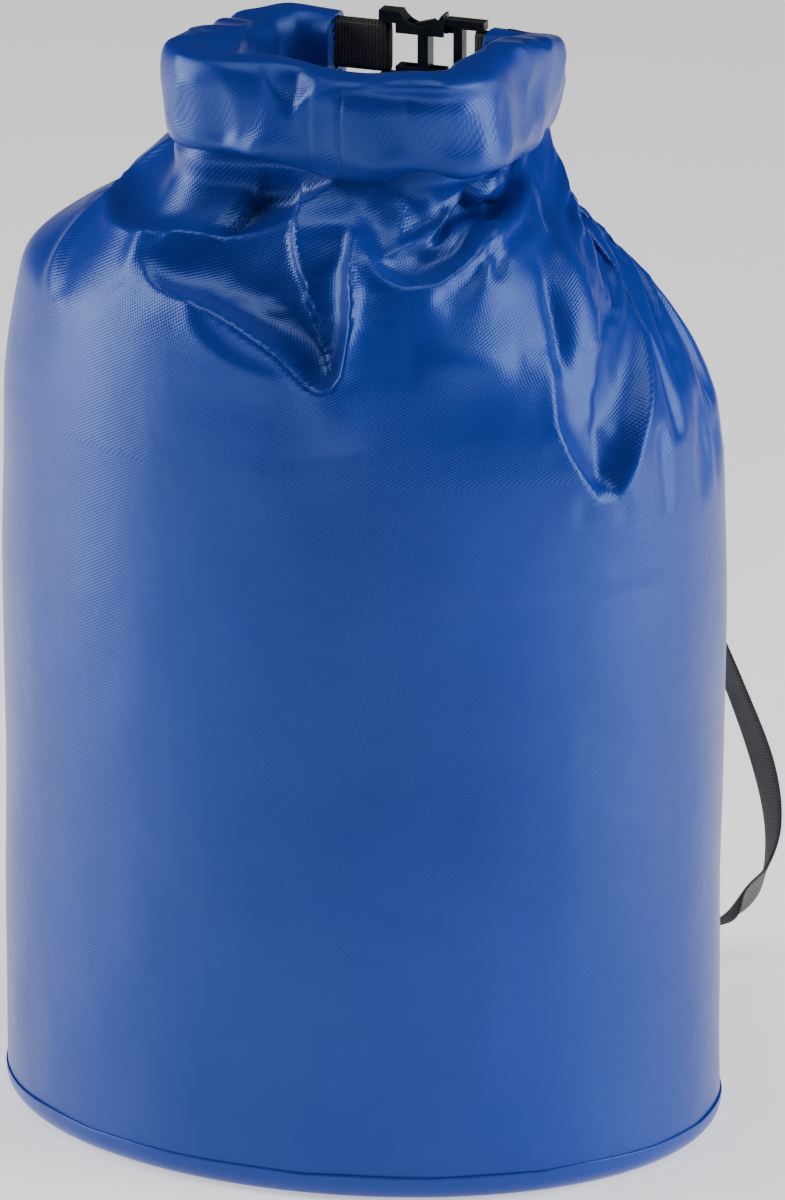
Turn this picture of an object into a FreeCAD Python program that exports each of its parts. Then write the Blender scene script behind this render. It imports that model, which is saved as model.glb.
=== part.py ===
import FreeCAD, Part
import math
import os

# Roll-top dry bag with two shoulder straps, stuffed and closed.
# The frame: +Z up, the front faces -Y, the straps and the buckle are at the back (+Y).
# The origin is the middle of the base panel's underside.

Vector = FreeCAD.Vector

doc = FreeCAD.newDocument("dry_bag")
sheet = doc.addObject("Spreadsheet::Sheet", "Sizes")

SIZES = [
    # body
    ("body_width", 300.0), ("body_depth", 240.0), ("wall_height", 310.0), ("wall_thickness", 0.7),
    ("hem_height", 11.0), ("hem_thickness", 0.9), ("base_edge_radius", 5.0), ("weld_clearance", 0.05),
    ("shoulder_rise", 98.0), ("shoulder_mid_rise", 52.0),
    ("shoulder_mid_width", 258.0), ("shoulder_mid_depth", 206.0),
    ("neck_width", 138.0), ("neck_depth", 122.0),
    # rolled collar, measured along its middle line
    ("ring_width", 122.0), ("ring_depth", 108.0), ("ring_corner", 20.0),
    ("roll_height", 50.0), ("roll_thickness", 24.0), ("roll_edge_radius", 9.0),
    ("core_thickness", 7.4), ("core_height", 27.0), ("core_edge_radius", 1.0),
    ("gap_left", 29.0), ("gap_right", 35.0),
    ("stiffener_height", 25.0), ("stiffener_thickness", 1.5), ("stiffener_setback", 8.0),
    # closure webbing
    ("webbing_width", 20.0), ("webbing_thickness", 1.4), ("webbing_clearance", 0.3),
    ("webbing_end", 41.0),
    # buckle, its length along X and its width along Z
    ("buckle_width", 32.0), ("buckle_thickness", 7.0), ("bar_radius", 1.5),
    ("female_left", 11.2), ("female_right", 16.5), ("slot_half", 11.0), ("slot_right", 4.0),
    ("neck_centre", 7.7), ("neck_length", 4.5), ("window_half", 7.0),
    ("relief_radius", 10.0), ("relief_depth", 5.5), ("relief_centre", 6.5),
    ("channel_thickness", 4.4), ("channel_inner", 6.0), ("channel_outer", 12.5), ("channel_left", 1.0),
    ("male_left", 17.0), ("male_right", 33.5), ("male_width", 29.0), ("male_thickness", 5.6),
    ("cross_bar_left", 20.5), ("cross_bar_length", 3.8), ("rail_inner", 11.9), ("cord_hole_radius", 0.9),
    ("prong_clearance", 0.3), ("prong_inner", 8.7), ("prong_outer", 11.4), ("prong_barb", 13.3),
    ("prong_tip", 1.2), ("prong_blunt", 0.8), ("barb_setback", 5.15),
    # shoulder straps and what holds them
    ("strap_width", 25.0), ("strap_thickness", 1.6), ("strap_end_gap", 6.5), ("stand_off", 18.5),
    ("top_anchor_angle", 14.0), ("bottom_anchor_angle", 40.0),
    ("right_reach", 81.0), ("right_heading", 65.0), ("right_turn_radius", 30.0),
    ("left_reach", 190.0), ("left_heading", 30.0), ("left_turn_radius", 45.0),
    ("patch_thickness", 0.8), ("top_patch_width", 110.0), ("top_patch_height", 55.0),
    ("bottom_patch_width", 60.0), ("bottom_patch_height", 50.0), ("patch_hem_gap", 2.0),
    ("patch_top_gap", 5.0), ("tab_height", 30.0), ("tab_thickness", 1.6), ("tab_inset", 4.0),
    ("shelf_thickness", 3.0),
    ("stitch_width", 19.0), ("stitch_height", 16.0), ("thread", 0.8), ("thread_height", 0.4),
]
for row, (alias, size) in enumerate(SIZES, start=1):
    sheet.set(f"A{row}", alias)
    sheet.set(f"B{row}", str(size))
    sheet.setAlias(f"B{row}", alias)
doc.recompute()


def size_of(alias):
    """A size read from the sheet."""
    return float(getattr(sheet, alias))


def bind(feature, **expressions):
    """Bind properties to the sheet; x, y and z are the placement's."""
    for name, expression in expressions.items():
        path = f"Placement.Base.{name}" if name in "xyz" else name
        for alias, _ in SIZES:
            expression = expression.replace(f"<{alias}>", f"Sizes.{alias}")
        feature.setExpression(path, expression)
    return feature


def box(name, length, width, height, x, y, z):
    """A box from its low corner, every size and place an expression."""
    made = doc.addObject("Part::Box", name)
    return bind(made, Length=length, Width=width, Height=height, x=x, y=y, z=z)


def upright_cylinder(name, radius, height, x, y, z):
    made = doc.addObject("Part::Cylinder", name)
    return bind(made, Radius=radius, Height=height, x=x, y=y, z=z)


def cross_cylinder(name, radius, height, x, y, z):
    """A cylinder along +Y, from y."""
    made = doc.addObject("Part::Cylinder", name)
    made.Placement.Rotation = FreeCAD.Rotation(Vector(1, 0, 0), -90)
    return bind(made, Radius=radius, Height=height, x=x, y=y, z=z)


def cut(name, base, tool):
    made = doc.addObject("Part::Cut", name)
    made.Base = base
    made.Tool = tool
    return made


def join(name, pieces):
    made = doc.addObject("Part::MultiFuse", name)
    made.Shapes = pieces
    return made


def common(name, pieces):
    made = doc.addObject("Part::MultiCommon", name)
    made.Shapes = pieces
    return made


def ellipse(name, width_half, depth_half, z):
    made = doc.addObject("Part::Ellipse", name)
    return bind(made, MajorRadius=width_half, MinorRadius=depth_half, z=z)


def oval_prism(name, offset, z, height):
    """An upright prism over the body's oval, grown by the offset expression."""
    section = ellipse(f"{name}_section", f"<body_width> / 2 + {offset}", f"<body_depth> / 2 + {offset}", z)
    made = doc.addObject("Part::Extrusion", name)
    made.Base = section
    made.DirMode = "Custom"
    made.Dir = Vector(0, 0, 1)
    made.Solid = True
    return bind(made, LengthFwd=height)


# ---------------------------------------------------------------- side wall and base panel
WALL_OUTSIDE = "(-<hem_thickness> - <weld_clearance>)"
WALL_INSIDE = "(-<hem_thickness> - <weld_clearance> - <wall_thickness>)"
WALL_FOOT = "(<hem_thickness> + <base_edge_radius>)"
NECK_TOP = "(<wall_height> + <shoulder_rise>)"


def stuffed_volume(name, offset, foot, top_inset):
    """The straight oval tube and the shoulder that closes in to the neck, grown by an offset."""
    tube = oval_prism(f"{name}_tube", offset, foot, f"<wall_height> - {foot}")
    shoulder = doc.addObject("Part::Loft", f"{name}_shoulder")
    shoulder.Sections = [
        ellipse(
            f"{name}_eave",
            f"<body_width> / 2 + {offset}",
            f"<body_depth> / 2 + {offset}",
            "<wall_height>",
        ),
        ellipse(
            f"{name}_slope",
            f"<shoulder_mid_width> / 2 + {offset}",
            f"<shoulder_mid_depth> / 2 + {offset}",
            "<wall_height> + <shoulder_mid_rise>",
        ),
        ellipse(
            f"{name}_neck",
            f"<neck_width> / 2 + {offset}",
            f"<neck_depth> / 2 + {offset}",
            f"{NECK_TOP} - {top_inset}",
        ),
    ]
    shoulder.Solid = True
    return join(name, [tube, shoulder])


side_wall = cut(
    "side_wall",
    stuffed_volume("wall_outer", WALL_OUTSIDE, WALL_FOOT, "0"),
    stuffed_volume("wall_inner", WALL_INSIDE, f"({WALL_FOOT} - 1)", "<wall_thickness>"),
)


def edges_where(shape, test):
    return [index for index, edge in enumerate(shape.Edges, start=1) if test(edge)]


def fillet(name, base, radius, test):
    """Round the base's edges that pass the test."""
    doc.recompute()
    made = doc.addObject("Part::Fillet", name)
    made.Base = base
    made.Edges = [(index, radius, radius) for index in edges_where(base.Shape, test)]
    return made


def lies_at_height(height):
    return lambda edge: all(abs(v.Point.z - height) < 1e-4 for v in edge.Vertexes)


dish_outer = fillet(
    "dish_outer",
    oval_prism("dish_outer_block", "0", "0", "<hem_height>"),
    size_of("base_edge_radius") + size_of("hem_thickness"),
    lies_at_height(0.0),
)
dish_inner = fillet(
    "dish_inner",
    oval_prism("dish_inner_block", "(-<hem_thickness>)", "<hem_thickness>", "<hem_height>"),
    size_of("base_edge_radius"),
    lies_at_height(size_of("hem_thickness")),
)
base_panel = cut("base_panel", dish_outer, dish_inner)


# ---------------------------------------------------------------- rolled collar
ROLL_MIDDLE = "(<wall_height> + <shoulder_rise> + <weld_clearance> + <roll_height> / 2)"
ROLL_BACK = "(<ring_depth> / 2)"


def rounded_block(name, grow, height, radius):
    """A block over the ring's middle line, grown outward by an expression, with rounded corners."""
    block = box(
        f"{name}_block",
        f"<ring_width> + 2 * {grow}", f"<ring_depth> + 2 * {grow}", height,
        f"-<ring_width> / 2 - {grow}", f"-<ring_depth> / 2 - {grow}", f"{ROLL_MIDDLE} - {height} / 2",
    )
    return fillet(name, block, radius, lambda edge: abs(edge.tangentAt(edge.FirstParameter).z) > 0.99)


def closed_ring(name, half_thickness, half_value, height):
    """A ring of rectangular section along the collar's middle line."""
    corner = size_of("ring_corner")
    return cut(
        f"{name}_ring",
        rounded_block(f"{name}_outer", half_thickness, height, corner + half_value),
        rounded_block(f"{name}_inner", f"(-{half_thickness})", height, corner - half_value),
    )


def opened(name, ring, half_thickness, height, gap_left, gap_right):
    """The ring with its gap at the back."""
    gap = box(
        f"{name}_gap",
        f"{gap_left} + {gap_right}", f"4 * {half_thickness}", f"{height} + 2",
        f"-{gap_left}", f"{ROLL_BACK} - 2 * {half_thickness}", f"{ROLL_MIDDLE} - {height} / 2 - 1",
    )
    return cut(name, ring, gap)


def soft_ring(name, ring, height, radius):
    """The ring with its top and bottom edges rounded."""
    neck_top = size_of("wall_height") + size_of("shoulder_rise")
    middle = neck_top + size_of("weld_clearance") + size_of("roll_height") / 2

    def at_top_or_bottom(edge):
        return all(abs(abs(v.Point.z - middle) - height / 2) < 1e-4 for v in edge.Vertexes)

    return fillet(name, ring, radius, at_top_or_bottom)


roll_skin = closed_ring("roll_skin", "(<roll_thickness> / 2)", size_of("roll_thickness") / 2, "<roll_height>")
roll_soft = soft_ring("roll_soft", roll_skin, size_of("roll_height"), size_of("roll_edge_radius"))
roll_outer = opened(
    "roll_outer", roll_soft, "(<roll_thickness> / 2)", "<roll_height>", "<gap_left>", "<gap_right>",
)
hollow = closed_ring("hollow", "(<core_thickness> / 2)", size_of("core_thickness") / 2, "<core_height>")
hollow_soft = soft_ring("hollow_soft", hollow, size_of("core_height"), size_of("core_edge_radius"))
roll_core = opened(
    "roll_core", hollow_soft, "(<roll_thickness> / 2)", "<core_height>",
    "(<gap_left> - 1)", "(<gap_right> - 1)",
)
collar_roll = cut("collar_roll", roll_outer, roll_core)

strip_ring = closed_ring(
    "strip", "(<stiffener_thickness> / 2)", size_of("stiffener_thickness") / 2, "<stiffener_height>",
)
stiffening_strip = opened(
    "stiffening_strip", strip_ring, "(<stiffener_thickness> / 2)", "<stiffener_height>",
    "(<gap_left> + <stiffener_setback>)", "(<gap_right> + <stiffener_setback>)",
)


# ---------------------------------------------------------------- closure webbing
FEMALE_BAR = "(-<female_left> + <bar_radius>)"
MALE_BAR = "(<male_right> - <bar_radius>)"


def hairpin_part(name, radius, bar_x, end_x, height):
    """The filled outline of a hairpin round a bar: a block from the bar to the end, and a disc at the bar."""
    left = f"min({bar_x}; {end_x})"
    length = f"abs({end_x} - {bar_x})"
    leg = box(
        f"{name}_leg",
        length, f"2 * {radius}", height,
        left, f"{ROLL_BACK} - {radius}", f"{ROLL_MIDDLE} - {height} / 2",
    )
    turn = upright_cylinder(
        f"{name}_turn", radius, height, bar_x, ROLL_BACK, f"{ROLL_MIDDLE} - {height} / 2",
    )
    return join(name, [leg, turn])


def hairpin(name, bar_x, end_x, further_x):
    """Webbing folded round a bar, both legs running to end_x."""
    inside = "(<bar_radius> + <webbing_clearance>)"
    outside = "(<bar_radius> + <webbing_clearance> + <webbing_thickness>)"
    return cut(
        name,
        hairpin_part(f"{name}_outside", outside, bar_x, end_x, "<webbing_width>"),
        hairpin_part(f"{name}_inside", inside, bar_x, further_x, "(<webbing_width> + 2)"),
    )


closure_webbing_left = hairpin(
    "closure_webbing_left", FEMALE_BAR, "(-<webbing_end>)", "(-<webbing_end> - 1)",
)
closure_webbing_right = hairpin(
    "closure_webbing_right", MALE_BAR, "<webbing_end>", "(<webbing_end> + 1)",
)


# ---------------------------------------------------------------- buckle
def buckle_block(name, left, right, thickness, low, high):
    """A block of the buckle: X from left to right, Z from low to high about the roll's middle."""
    return box(
        name,
        f"{right} - {left}", thickness, f"{high} - {low}",
        left, f"{ROLL_BACK} - {thickness} / 2", f"{ROLL_MIDDLE} + {low}",
    )


def mirrored_blocks(name, left, right, thickness, inner, outer):
    """The same block above and below the buckle's middle."""
    return [
        buckle_block(f"{name}_upper", left, right, thickness, inner, outer),
        buckle_block(f"{name}_lower", left, right, thickness, f"(-{outer})", f"(-{inner})"),
    ]


def finger_relief(name, side):
    """The hollow that a finger presses into, above (1) or below (-1)."""
    reach = "(<buckle_width> / 2 + <relief_radius> - <relief_depth>)"
    return cross_cylinder(
        name, "<relief_radius>", "<buckle_thickness> + 2",
        "<relief_centre>", f"{ROLL_BACK} - <buckle_thickness> / 2 - 1", f"{ROLL_MIDDLE} + {side} * {reach}",
    )


NECK_LEFT = "(<neck_centre> - <neck_length> / 2)"
NECK_RIGHT = "(<neck_centre> + <neck_length> / 2)"
THROUGH = "(<buckle_thickness> + 2)"

female_frame = cut(
    "female_frame",
    buckle_block(
        "female_block", "(-<female_left>)", "<female_right>", "<buckle_thickness>",
        "(-<buckle_width> / 2)", "(<buckle_width> / 2)",
    ),
    join("female_cuts", [
        finger_relief("relief_upper", "1"),
        finger_relief("relief_lower", "(-1)"),
        buckle_block(
            "female_slot", "(-<female_left> - 1)", "(-<slot_right>)", THROUGH,
            "(-<slot_half>)", "<slot_half>",
        ),
        buckle_block(
            "female_left_window", "(-<slot_right> - 1)", NECK_LEFT, THROUGH,
            "(-<window_half>)", "<window_half>",
        ),
        buckle_block(
            "female_right_window", NECK_RIGHT, "(<female_right> + 1)", THROUGH,
            "(-<window_half>)", "<window_half>",
        ),
    ] + mirrored_blocks(
        "prong_channel", "(-<channel_left>)", "(<female_right> + 1)", "<channel_thickness>",
        "<channel_inner>", "<channel_outer>",
    )),
)
female_bar = upright_cylinder(
    "female_bar", "<bar_radius>", "2 * <slot_half> + 1",
    FEMALE_BAR, ROLL_BACK, f"{ROLL_MIDDLE} - <slot_half> - 0.5",
)
buckle_female = join("buckle_female", [female_frame, female_bar])

CROSS_BAR_RIGHT = "(<cross_bar_left> + <cross_bar_length>)"
male_frame = cut(
    "male_frame",
    buckle_block(
        "male_block", "<male_left>", "<male_right>", "<male_thickness>",
        "(-<male_width> / 2)", "(<male_width> / 2)",
    ),
    join("male_cuts", [
        buckle_block(
            "male_mouth", "(<male_left> - 1)", "<cross_bar_left>", THROUGH, "(-<rail_inner>)", "<rail_inner>",
        ),
        buckle_block(
            "male_slot", CROSS_BAR_RIGHT, "(<male_right> + 1)", THROUGH, "(-<slot_half>)", "<slot_half>",
        ),
        cross_cylinder(
            "cord_hole", "<cord_hole_radius>", THROUGH,
            f"({CROSS_BAR_RIGHT} + <male_right>) / 2", f"{ROLL_BACK} - {THROUGH} / 2",
            f"{ROLL_MIDDLE} + (<slot_half> + <male_width> / 2) / 2",
        ),
    ]),
)
male_bar = upright_cylinder(
    "male_bar", "<bar_radius>", "2 * <slot_half> + 1",
    MALE_BAR, ROLL_BACK, f"{ROLL_MIDDLE} - <slot_half> - 0.5",
)
buckle_male = join("buckle_male", [male_frame, male_bar])


def prong(name, side):
    """A prong with its barb, drawn on the upright plane and padded along Y."""
    body = doc.addObject("PartDesign::Body", name)
    sketch = body.newObject("Sketcher::SketchObject", f"{name}_outline")
    plane = [o for o in body.Origin.OriginFeatures if o.Role == "XZ_Plane"][0]
    sketch.AttachmentSupport = [(plane, "")]
    sketch.MapMode = "FlatFace"
    root_x = size_of("cross_bar_left") - size_of("prong_clearance")
    barb_x = size_of("female_right") - size_of("barb_setback")
    inner, outer, barb = size_of("prong_inner"), size_of("prong_outer"), size_of("prong_barb")
    tip_x = size_of("prong_tip")
    blunt = size_of("prong_blunt")
    outline = [
        (root_x, inner), (root_x, outer), (barb_x + blunt, outer), (barb_x + blunt, barb - blunt),
        (barb_x, barb), (tip_x + blunt, outer - blunt), (tip_x, inner + blunt), (tip_x + blunt, inner),
    ]
    points = [Vector(x, side * z, 0) for x, z in outline]
    for start, end in zip(points, points[1:] + points[:1]):
        sketch.addGeometry(Part.LineSegment(start, end), False)
    pad = body.newObject("PartDesign::Pad", f"{name}_pad")
    pad.Profile = sketch
    pad.Midplane = True
    bind(pad, Length="<channel_thickness> - 2 * <prong_clearance>")
    return bind(body, y=ROLL_BACK, z=ROLL_MIDDLE)


prong_upper = prong("prong_upper", 1)
prong_lower = prong("prong_lower", -1)


# ---------------------------------------------------------------- anchors of the shoulder straps
def wall_layer(name, inner, outer, low, high, angle, width):
    """A sheet on the wall between two offsets, as wide as given, centred at an angle from +Y towards +X."""
    shell = cut(
        f"{name}_shell",
        oval_prism(f"{name}_shell_outer", outer, low, f"{high} - {low}"),
        oval_prism(f"{name}_shell_inner", inner, f"{low} - 1", f"{high} - {low} + 2"),
    )
    window = doc.addObject("Part::Box", f"{name}_window")
    turn = math.radians(angle)
    window.Placement = FreeCAD.Placement(
        Vector(-math.cos(turn) * width / 2, math.sin(turn) * width / 2, 0),
        FreeCAD.Rotation(Vector(0, 0, 1), -angle),
    )
    window.Length = width
    bind(window, Width="<body_width>", Height="<wall_height> + <shoulder_rise>")
    return common(name, [shell, window])


PATCH_INSIDE = "(<weld_clearance> - <hem_thickness>)"
PATCH_OUTSIDE = "(<weld_clearance> - <hem_thickness> + <patch_thickness>)"
TAB_INSIDE = "(2 * <weld_clearance> - <hem_thickness> + <patch_thickness>)"
TAB_OUTSIDE = "(2 * <weld_clearance> - <hem_thickness> + <patch_thickness> + <tab_thickness>)"
THREAD_INSIDE = "(3 * <weld_clearance> - <hem_thickness> + <patch_thickness> + <tab_thickness>)"
THREAD_OUTSIDE = (
    "(3 * <weld_clearance> - <hem_thickness> + <patch_thickness> + <tab_thickness> + <thread_height>)"
)
TOP_PATCH_TOP = "(<wall_height> - <patch_top_gap>)"
TOP_PATCH_FOOT = "(<wall_height> - <patch_top_gap> - <top_patch_height>)"
BOTTOM_PATCH_FOOT = "(<hem_height> + <patch_hem_gap>)"
BOTTOM_PATCH_TOP = "(<hem_height> + <patch_hem_gap> + <bottom_patch_height>)"
TOP_TAB_TOP = "(<wall_height> - <patch_top_gap> - <tab_inset>)"
TOP_TAB_FOOT = "(<wall_height> - <patch_top_gap> - <tab_inset> - <tab_height>)"
BOTTOM_TAB_FOOT = "(<hem_height> + <patch_hem_gap> + <tab_inset>)"
BOTTOM_TAB_TOP = "(<hem_height> + <patch_hem_gap> + <tab_inset> + <tab_height>)"

top_patch = wall_layer(
    "top_patch", PATCH_INSIDE, PATCH_OUTSIDE, TOP_PATCH_FOOT, TOP_PATCH_TOP, 0.0, size_of("top_patch_width"),
)
SIDES = {"right": 1, "left": -1}
bottom_patches = [
    wall_layer(
        f"bottom_patch_{name}", PATCH_INSIDE, PATCH_OUTSIDE, BOTTOM_PATCH_FOOT, BOTTOM_PATCH_TOP,
        side * size_of("bottom_anchor_angle"), size_of("bottom_patch_width"),
    )
    for name, side in SIDES.items()
]


def wall_point(angle):
    """The point of the body's oval at an angle from +Y towards +X, and the way the wall faces there."""
    turn = math.radians(angle)
    half_width = size_of("body_width") / 2
    half_depth = size_of("body_depth") / 2
    reach = 1 / math.hypot(math.sin(turn) / half_width, math.cos(turn) / half_depth)
    point = Vector(reach * math.sin(turn), reach * math.cos(turn), 0)
    facing = Vector(point.x / half_width**2, point.y / half_depth**2, 0)
    return point, facing.normalize()


def tab(name, angle, low, high, shelf_z):
    """A webbing tab: a leg stitched to its patch, and a lip that holds the strap off the wall."""
    leg = wall_layer(f"{name}_leg", TAB_INSIDE, TAB_OUTSIDE, low, high, angle, size_of("strap_width"))
    lip = doc.addObject("Part::Box", f"{name}_lip")
    point, facing = wall_point(angle)
    tangent = Vector(facing.y, -facing.x, 0)
    start = size_of("patch_thickness") - size_of("hem_thickness") + size_of("tab_thickness") / 2
    width = size_of("strap_width")
    lip.Placement = FreeCAD.Placement(
        point + facing * start - tangent * (width / 2),
        FreeCAD.Rotation(Vector(0, 0, 1), math.degrees(math.atan2(-facing.x, facing.y))),
    )
    lip.Length = width
    lip.Width = size_of("stand_off") - start
    bind(lip, Height="<shelf_thickness>", z=shelf_z)
    return join(name, [leg, lip])


def box_stitch(name, angle, low, high):
    """A closed rectangle of thread in the middle of a tab's leg."""
    middle = f"(({low} + {high}) / 2)"
    half = "(<stitch_height> / 2)"
    outside = wall_layer(
        f"{name}_outside", THREAD_INSIDE, THREAD_OUTSIDE,
        f"({middle} - {half})", f"({middle} + {half})", angle, size_of("stitch_width"),
    )
    inside = wall_layer(
        f"{name}_inside", "(-1)", "(<patch_thickness> + <tab_thickness> + 2)",
        f"({middle} - {half} + <thread>)", f"({middle} + {half} - <thread>)", angle,
        size_of("stitch_width") - 2 * size_of("thread"),
    )
    return cut(name, outside, inside)


tabs = []
stitches = []
for name, side in SIDES.items():
    top_angle = side * size_of("top_anchor_angle")
    bottom_angle = side * size_of("bottom_anchor_angle")
    tabs.append(tab(f"top_tab_{name}", top_angle, TOP_TAB_FOOT, TOP_TAB_TOP, TOP_TAB_FOOT))
    tabs.append(tab(
        f"bottom_tab_{name}", bottom_angle, BOTTOM_TAB_FOOT, BOTTOM_TAB_TOP,
        f"{BOTTOM_TAB_TOP} - <shelf_thickness>",
    ))
    stitches.append(box_stitch(f"top_stitching_{name}", top_angle, TOP_TAB_FOOT, TOP_TAB_TOP))
    stitches.append(box_stitch(f"bottom_stitching_{name}", bottom_angle, BOTTOM_TAB_FOOT, BOTTOM_TAB_TOP))


# ---------------------------------------------------------------- shoulder straps
def anchor_points(side):
    """The middles of the ends of a strap's two tabs, where the strap turns."""
    patch_top = size_of("wall_height") - size_of("patch_top_gap") - size_of("tab_inset")
    heights = (
        patch_top - size_of("tab_height"),
        size_of("hem_height") + size_of("patch_hem_gap") + size_of("tab_inset") + size_of("tab_height"),
    )
    points = []
    for angle, height in zip((size_of("top_anchor_angle"), size_of("bottom_anchor_angle")), heights):
        point, facing = wall_point(side * angle)
        reach = size_of("stand_off") - size_of("strap_thickness")
        points.append(point + facing * reach + Vector(0, 0, height))
    return points


def rounded_path(points, radius):
    """Straight runs joined by tangent arcs, none larger than its runs allow."""
    edges = []
    start = points[0]
    for before, corner, after in zip(points, points[1:], points[2:]):
        back = (before - corner).normalize()
        ahead = (after - corner).normalize()
        half_turn = back.getAngle(ahead) / 2
        room = 0.45 * min((before - corner).Length, (after - corner).Length)
        trim = min(radius / math.tan(half_turn), room)
        arc_radius = trim * math.tan(half_turn)
        middle_line = (back + ahead).normalize()
        middle = corner + middle_line * (arc_radius / math.sin(half_turn) - arc_radius)
        first, last = corner + back * trim, corner + ahead * trim
        edges.append(Part.LineSegment(start, first).toShape())
        edges.append(Part.Arc(first, middle, last).toShape())
        start = last
    edges.append(Part.LineSegment(start, points[-1]).toShape())
    return Part.Wire(edges)


# How far along its span each point of a strap lies, and its share of the strap's reach.
STRAP_COURSE = [(0.0, 0.0), (0.10, 0.30), (0.45, 0.66), (0.80, 1.0), (0.97, 0.84), (1.0, 0.42), (1.0, 0.0)]


def strap(side_name):
    """A flat webbing loop in one upright plane through its two anchors."""
    top, bottom = anchor_points(SIDES[side_name])
    reach, heading = size_of(f"{side_name}_reach"), size_of(f"{side_name}_heading")
    down = (bottom - top).normalize()
    gap = size_of("strap_end_gap")
    span = (bottom - top).Length - 2 * gap
    turn = math.radians(heading)
    flat = Vector(math.cos(turn), math.sin(turn), 0)
    outward = (flat - down * flat.dot(down)).normalize()
    across = down.cross(outward)
    width = size_of("strap_width")
    edge = top - across * (width / 2)
    points = [edge + down * (gap + along * span) + outward * (out * reach) for along, out in STRAP_COURSE]
    thickness = size_of("strap_thickness")
    path = rounded_path(points, size_of(f"{side_name}_turn_radius"))
    band = path.makeOffset2D(thickness, 0, True, True)
    made = doc.addObject("Part::Feature", f"strap_{side_name}")
    made.Shape = band.extrude(across * width)
    return made


strap_right = strap("right")
strap_left = strap("left")


# ---------------------------------------------------------------- check and write
NODES = [
    side_wall, base_panel, collar_roll, stiffening_strip, closure_webbing_left, closure_webbing_right,
    buckle_female, buckle_male, prong_upper, prong_lower, top_patch, *bottom_patches, *tabs, *stitches,
    strap_right, strap_left,
]
doc.recompute()
for feature in doc.Objects:
    if "Invalid" in feature.State or "Error" in feature.State:
        raise RuntimeError(f"{feature.Name} failed: {feature.State}")
for node in NODES:
    if node.Shape.isNull() or not node.Shape.isValid():
        raise RuntimeError(f"{node.Label} has no valid shape")
    if len(node.Shape.Solids) != 1:
        raise RuntimeError(f"{node.Label} has {len(node.Shape.Solids)} solids")

os.makedirs("parts", exist_ok=True)
for node in NODES:
    node.Shape.exportStep(f"parts/{node.Label}.step")
    bounds = node.Shape.BoundBox
    print(
        f"{node.Label:24s} {node.Shape.Volume / 1000:8.2f} cm3 "
        f"x {bounds.XMin:7.1f} {bounds.XMax:7.1f} y {bounds.YMin:7.1f} {bounds.YMax:7.1f} "
        f"z {bounds.ZMin:6.1f} {bounds.ZMax:6.1f}"
    )
for name, side in SIDES.items():
    top, bottom = anchor_points(side)
    print(f"strap_{name} turns about {tuple(top)} to {tuple(bottom)}")
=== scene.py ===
import math

import bpy
import numpy as np
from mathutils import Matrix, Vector, noise


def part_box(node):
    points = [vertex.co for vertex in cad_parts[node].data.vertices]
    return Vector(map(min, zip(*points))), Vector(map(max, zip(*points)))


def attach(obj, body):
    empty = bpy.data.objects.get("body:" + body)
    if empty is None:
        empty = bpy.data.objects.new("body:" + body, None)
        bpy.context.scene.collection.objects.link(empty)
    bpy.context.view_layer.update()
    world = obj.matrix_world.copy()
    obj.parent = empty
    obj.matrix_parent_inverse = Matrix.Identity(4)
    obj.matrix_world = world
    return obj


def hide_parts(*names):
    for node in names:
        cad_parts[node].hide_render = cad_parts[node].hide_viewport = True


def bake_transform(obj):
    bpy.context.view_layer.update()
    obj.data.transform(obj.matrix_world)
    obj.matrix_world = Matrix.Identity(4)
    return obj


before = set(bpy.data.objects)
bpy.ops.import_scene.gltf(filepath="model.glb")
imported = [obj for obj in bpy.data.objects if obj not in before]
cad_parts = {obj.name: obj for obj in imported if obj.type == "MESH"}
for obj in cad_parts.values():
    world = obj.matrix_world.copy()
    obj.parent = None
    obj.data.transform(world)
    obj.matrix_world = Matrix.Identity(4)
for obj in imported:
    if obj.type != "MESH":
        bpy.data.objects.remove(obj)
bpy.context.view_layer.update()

# Boxes of the CAD nodes, in metres.
WALL_LOW, WALL_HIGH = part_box("side_wall")
BASE_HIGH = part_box("base_panel")[1]
ROLL_LOW, ROLL_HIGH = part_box("collar_roll")
HALF_WIDTH = WALL_HIGH.x
HALF_DEPTH = WALL_HIGH.y
ROLL_TALL = ROLL_HIGH.z - ROLL_LOW.z
ROLL_MID = (ROLL_HIGH.z + ROLL_LOW.z) / 2
# Sizes of the CAD roll that a box doesn't give.
ROLL_THICK = 0.024
RING_CORNER = 0.020
GAP_LEFT = 0.029
GAP_RIGHT = 0.035
RING_HALF_WIDTH = ROLL_HIGH.x - ROLL_THICK / 2
RING_HALF_DEPTH = ROLL_HIGH.y - ROLL_THICK / 2
TWO_PI = 2 * math.pi


# ---------------------------------------------------------------- camera and light
def aim(obj, target):
    obj.rotation_euler = (Vector(target) - obj.location).to_track_quat("-Z", "Y").to_euler()


def make_camera():
    azimuth, elevation, distance = math.radians(19.5), math.radians(19.0), 6.0
    target = Vector((0, 0, 0.23))
    data = bpy.data.cameras.new("camera")
    data.sensor_fit = "VERTICAL"
    data.sensor_height = 36
    data.lens = 444
    data.shift_x = 0.0246
    data.shift_y = -0.0300
    data.clip_end = 50
    camera = bpy.data.objects.new("camera", data)
    bpy.context.scene.collection.objects.link(camera)
    camera.location = target + distance * Vector((
        math.sin(azimuth) * math.cos(elevation),
        -math.cos(azimuth) * math.cos(elevation),
        math.sin(elevation),
    ))
    aim(camera, target)
    bpy.context.scene.camera = camera


def area_light(name, place, target, size, size_y, power):
    data = bpy.data.lights.new(name, "AREA")
    data.shape = "RECTANGLE"
    data.size = size
    data.size_y = size_y
    data.energy = power
    data.spread = math.pi
    light = bpy.data.objects.new(name, data)
    bpy.context.scene.collection.objects.link(light)
    light.location = place
    aim(light, target)


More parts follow.
